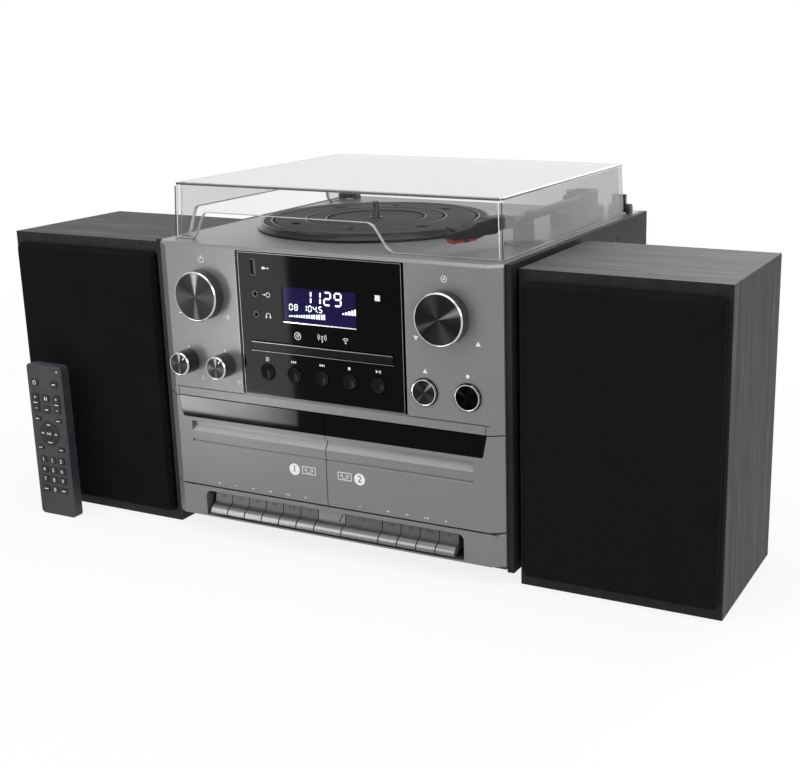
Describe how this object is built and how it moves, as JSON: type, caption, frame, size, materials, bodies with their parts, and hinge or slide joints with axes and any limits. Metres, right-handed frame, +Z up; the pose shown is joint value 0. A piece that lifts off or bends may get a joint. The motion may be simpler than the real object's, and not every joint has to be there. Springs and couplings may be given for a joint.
{
  "type": "stereo music centre",
  "caption": "Hi-fi music centre: turntable under a hinged clear lid, disc tray, twin cassette doors and piano keys, with separate box speakers and a remote.",
  "frame": {"origin": "on the floor, under the middle of the whole outline (bottom centre of the bounding box)", "axes": "+X to the unit's right as seen from the front, +Y to the back, +Z up; the front faces -Y"},
  "size_m": [0.706, 0.3598, 0.324],
  "materials": {
    "fascia_grey": "fine brushed look, soft satin",
    "door_grey": "fine brushed look, soft satin",
    "cabinet_grey": "smooth satin",
    "deck_grey": "satin with a bright front edge",
    "chassis_steel": "flat black",
    "gloss_black": "high gloss",
    "display_glass": "lit behind a tinted lens",
    "rubber_black": "matt",
    "board_green": "solder resist over fibreglass",
    "transformer_steel": "varnished laminations",
    "socket_black": "satin",
    "motor_steel": "drawn can",
    "belt_rubber": "matt",
    "arm_base_black": "satin",
    "hinge_black": "satin",
    "mechanism_grey": "moulded",
    "transport_steel": "plated sheet",
    "speaker_ash": "black ash foil over chipboard",
    "grille_cloth": "stretched knit",
    "driver_paper": "paper cone in a black frame",
    "remote_plastic": "satin",
    "keypad_rubber": "soft silicone",
    "lid_acrylic": "clear smoked acrylic",
    "platter_plastic": "satin",
    "mat_rubber": "ribbed",
    "pulley_brass": "turned",
    "arm_metal": "satin lacquer",
    "headshell_black": "satin with a red cartridge",
    "cue_black": "satin",
    "tray_black": "satin",
    "window_black": "smoked gloss",
    "key_silver": "metallic lacquer",
    "button_grey": "metallic lacquer",
    "knob_black": "spun face with a bright bevel"
  },
  "bodies": {
    "music_centre": {"base_chassis": "chassis_steel", "rubber_feet": "rubber_black", "side_panels": "cabinet_grey", "rear_panel": "chassis_steel", "top_deck": "deck_grey", "front_fascia": "fascia_grey", "centre_panel": "gloss_black", "display_module": "display_glass", "base_fascia": "fascia_grey", "circuit_boards": "board_green", "power_transformer": "transformer_steel", "rear_sockets": "socket_black", "front_sockets": "socket_black", "platter_motor": "motor_steel", "drive_belt": "belt_rubber", "tonearm_base": "arm_base_black", "lid_hinge_brackets": "hinge_black", "cd_mechanism": "mechanism_grey", "tape_transports": "transport_steel", "speaker_cabinets": "speaker_ash", "speaker_grilles": "grille_cloth", "speaker_drivers": "driver_paper", "remote_housing": "remote_plastic", "remote_keypad": "keypad_rubber"},
    "dust_lid": {"lid": "lid_acrylic", "lid_hinge_arms": "hinge_black"},
    "turntable_platter": {"platter": "platter_plastic", "platter_mat": "mat_rubber"},
    "pulley": {"motor_pulley": "pulley_brass"},
    "arm_swivel": {"arm_housing": "arm_base_black"},
    "arm_wand": {"tonearm": "arm_metal", "headshell": "headshell_black"},
    "cue": {"cue_lever": "cue_black"},
    "disc_tray": {"cd_tray": "tray_black"},
    "cassette_door_1": {"door_1": "door_grey", "window_1": "window_black"},
    "cassette_door_2": {"door_2": "door_grey", "window_2": "window_black"},
    "key_1_record": {"key_1_record": "key_silver"},
    "key_1_play": {"key_1_play": "key_silver"},
    "key_1_rewind": {"key_1_rewind": "key_silver"},
    "key_1_forward": {"key_1_forward": "key_silver"},
    "key_1_stop": {"key_1_stop": "key_silver"},
    "key_1_pause": {"key_1_pause": "key_silver"},
    "key_2_play": {"key_2_play": "key_silver"},
    "key_2_rewind": {"key_2_rewind": "key_silver"},
    "key_2_forward": {"key_2_forward": "key_silver"},
    "key_2_stop": {"key_2_stop": "key_silver"},
    "key_2_pause": {"key_2_pause": "key_silver"},
    "button_menu": {"button_menu": "button_grey"},
    "button_back": {"button_back": "button_grey"},
    "button_next": {"button_next": "button_grey"},
    "button_stop": {"button_stop": "button_grey"},
    "button_play": {"button_play": "button_grey"},
    "eject_button": {"eject_button": "button_grey"},
    "record_button": {"record_button": "button_grey"},
    "volume_knob": {"volume_knob": "knob_black"},
    "bass_knob": {"bass_knob": "knob_black"},
    "treble_knob": {"treble_knob": "knob_black"},
    "select_knob": {"select_knob": "knob_black"}
  },
  "joints": [
    {"name": "lid_hinge", "type": "hinge", "parent": "music_centre", "child": "dust_lid", "pos_m": [0, 0.14895, 0.2794], "axis": [-1, 0, 0], "range_deg": [0, 72]},
    {"name": "platter_spin", "type": "hinge", "parent": "music_centre", "child": "turntable_platter", "pos_m": [-0.034, -0.00155, 0.28], "axis": [0, 0, 1], "continuous": true},
    {"name": "pulley_spin", "type": "hinge", "parent": "music_centre", "child": "pulley", "pos_m": [-0.10259, 0.06704, 0.27], "axis": [0, 0, 1], "continuous": true},
    {"name": "arm_yaw", "type": "hinge", "parent": "music_centre", "child": "arm_swivel", "pos_m": [0.143, 0.08195, 0.296], "axis": [0, 0, 1], "range_deg": [-40, 0]},
    {"name": "arm_lift", "type": "hinge", "parent": "arm_swivel", "child": "arm_wand", "pos_m": [0.143, 0.08195, 0.296], "axis": [-1, 0, 0], "range_deg": [0, 6]},
    {"name": "cue_turn", "type": "hinge", "parent": "music_centre", "child": "cue", "pos_m": [0.154, 0.05395, 0.286], "axis": [-1, 0, 0], "range_deg": [0, 60]},
    {"name": "tray_slide", "type": "slide", "parent": "music_centre", "child": "disc_tray", "axis": [0, -1, 0], "range_m": [0, 0.128]},
    {"name": "door_1_hinge", "type": "hinge", "parent": "music_centre", "child": "cassette_door_1", "pos_m": [0, -0.15205, 0.053], "axis": [1, 0, 0], "range_deg": [0, 32]},
    {"name": "door_2_hinge", "type": "hinge", "parent": "music_centre", "child": "cassette_door_2", "pos_m": [0, -0.15205, 0.053], "axis": [1, 0, 0], "range_deg": [0, 32]},
    {"name": "key_1_record_press", "type": "hinge", "parent": "music_centre", "child": "key_1_record", "pos_m": [-0.1175, -0.11005, 0.031], "axis": [1, 0, 0], "range_deg": [0, 4.5], "stiffness_Nm_per_rad": 0.9},
    {"name": "key_1_play_press", "type": "hinge", "parent": "music_centre", "child": "key_1_play", "pos_m": [-0.0987, -0.11005, 0.031], "axis": [1, 0, 0], "range_deg": [0, 4.5], "stiffness_Nm_per_rad": 0.9},
    {"name": "key_1_rewind_press", "type": "hinge", "parent": "music_centre", "child": "key_1_rewind", "pos_m": [-0.0799, -0.11005, 0.031], "axis": [1, 0, 0], "range_deg": [0, 4.5], "stiffness_Nm_per_rad": 0.9},
    {"name": "key_1_forward_press", "type": "hinge", "parent": "music_centre", "child": "key_1_forward", "pos_m": [-0.0611, -0.11005, 0.031], "axis": [1, 0, 0], "range_deg": [0, 4.5], "stiffness_Nm_per_rad": 0.9},
    {"name": "key_1_stop_press", "type": "hinge", "parent": "music_centre", "child": "key_1_stop", "pos_m": [-0.0423, -0.11005, 0.031], "axis": [1, 0, 0], "range_deg": [0, 4.5], "stiffness_Nm_per_rad": 0.9},
    {"name": "key_1_pause_press", "type": "hinge", "parent": "music_centre", "child": "key_1_pause", "pos_m": [-0.0235, -0.11005, 0.031], "axis": [1, 0, 0], "range_deg": [0, 4.5], "stiffness_Nm_per_rad": 0.9},
    {"name": "key_2_play_press", "type": "hinge", "parent": "music_centre", "child": "key_2_play", "pos_m": [0.0329, -0.11005, 0.031], "axis": [1, 0, 0], "range_deg": [0, 4.5], "stiffness_Nm_per_rad": 0.9},
    {"name": "key_2_rewind_press", "type": "hinge", "parent": "music_centre", "child": "key_2_rewind", "pos_m": [0.0611, -0.11005, 0.031], "axis": [1, 0, 0], "range_deg": [0, 4.5], "stiffness_Nm_per_rad": 0.9},
    {"name": "key_2_forward_press", "type": "hinge", "parent": "music_centre", "child": "key_2_forward", "pos_m": [0.0799, -0.11005, 0.031], "axis": [1, 0, 0], "range_deg": [0, 4.5], "stiffness_Nm_per_rad": 0.9},
    {"name": "key_2_stop_press", "type": "hinge", "parent": "music_centre", "child": "key_2_stop", "pos_m": [0.0987, -0.11005, 0.031], "axis": [1, 0, 0], "range_deg": [0, 4.5], "stiffness_Nm_per_rad": 0.9},
    {"name": "key_2_pause_press", "type": "hinge", "parent": "music_centre", "child": "key_2_pause", "pos_m": [0.1175, -0.11005, 0.031], "axis": [1, 0, 0], "range_deg": [0, 4.5], "stiffness_Nm_per_rad": 0.9},
    {"name": "button_menu_press", "type": "slide", "parent": "music_centre", "child": "button_menu", "axis": [0, 1, 0], "range_m": [0, 0.0012], "stiffness_N_per_m": 1000},
    {"name": "button_back_press", "type": "slide", "parent": "music_centre", "child": "button_back", "axis": [0, 1, 0], "range_m": [0, 0.0012], "stiffness_N_per_m": 1000},
    {"name": "button_next_press", "type": "slide", "parent": "music_centre", "child": "button_next", "axis": [0, 1, 0], "range_m": [0, 0.0012], "stiffness_N_per_m": 1000},
    {"name": "button_stop_press", "type": "slide", "parent": "music_centre", "child": "button_stop", "axis": [0, 1, 0], "range_m": [0, 0.0012], "stiffness_N_per_m": 1000},
    {"name": "button_play_press", "type": "slide", "parent": "music_centre", "child": "button_play", "axis": [0, 1, 0], "range_m": [0, 0.0012], "stiffness_N_per_m": 1000},
    {"name": "eject_button_press", "type": "slide", "parent": "music_centre", "child": "eject_button", "axis": [0, 1, 0], "range_m": [0, 0.0015], "stiffness_N_per_m": 1000},
    {"name": "record_button_press", "type": "slide", "parent": "music_centre", "child": "record_button", "axis": [0, 1, 0], "range_m": [0, 0.0015], "stiffness_N_per_m": 1000},
    {"name": "volume_knob_turn", "type": "hinge", "parent": "music_centre", "child": "volume_knob", "pos_m": [-0.1205, -0.15805, 0.229], "axis": [0, 1, 0], "range_deg": [-150, 150]},
    {"name": "bass_knob_turn", "type": "hinge", "parent": "music_centre", "child": "bass_knob", "pos_m": [-0.1405, -0.15805, 0.167], "axis": [0, 1, 0], "range_deg": [-135, 135]},
    {"name": "treble_knob_turn", "type": "hinge", "parent": "music_centre", "child": "treble_knob", "pos_m": [-0.1005, -0.15805, 0.167], "axis": [0, 1, 0], "range_deg": [-135, 135]},
    {"name": "select_knob_turn", "type": "hinge", "parent": "music_centre", "child": "select_knob", "pos_m": [0.1205, -0.15805, 0.229], "axis": [0, 1, 0], "continuous": true}
  ],
  "couplings": [
    {"joint": "pulley_spin", "follows": "platter_spin", "ratio": 14.546}
  ]
}
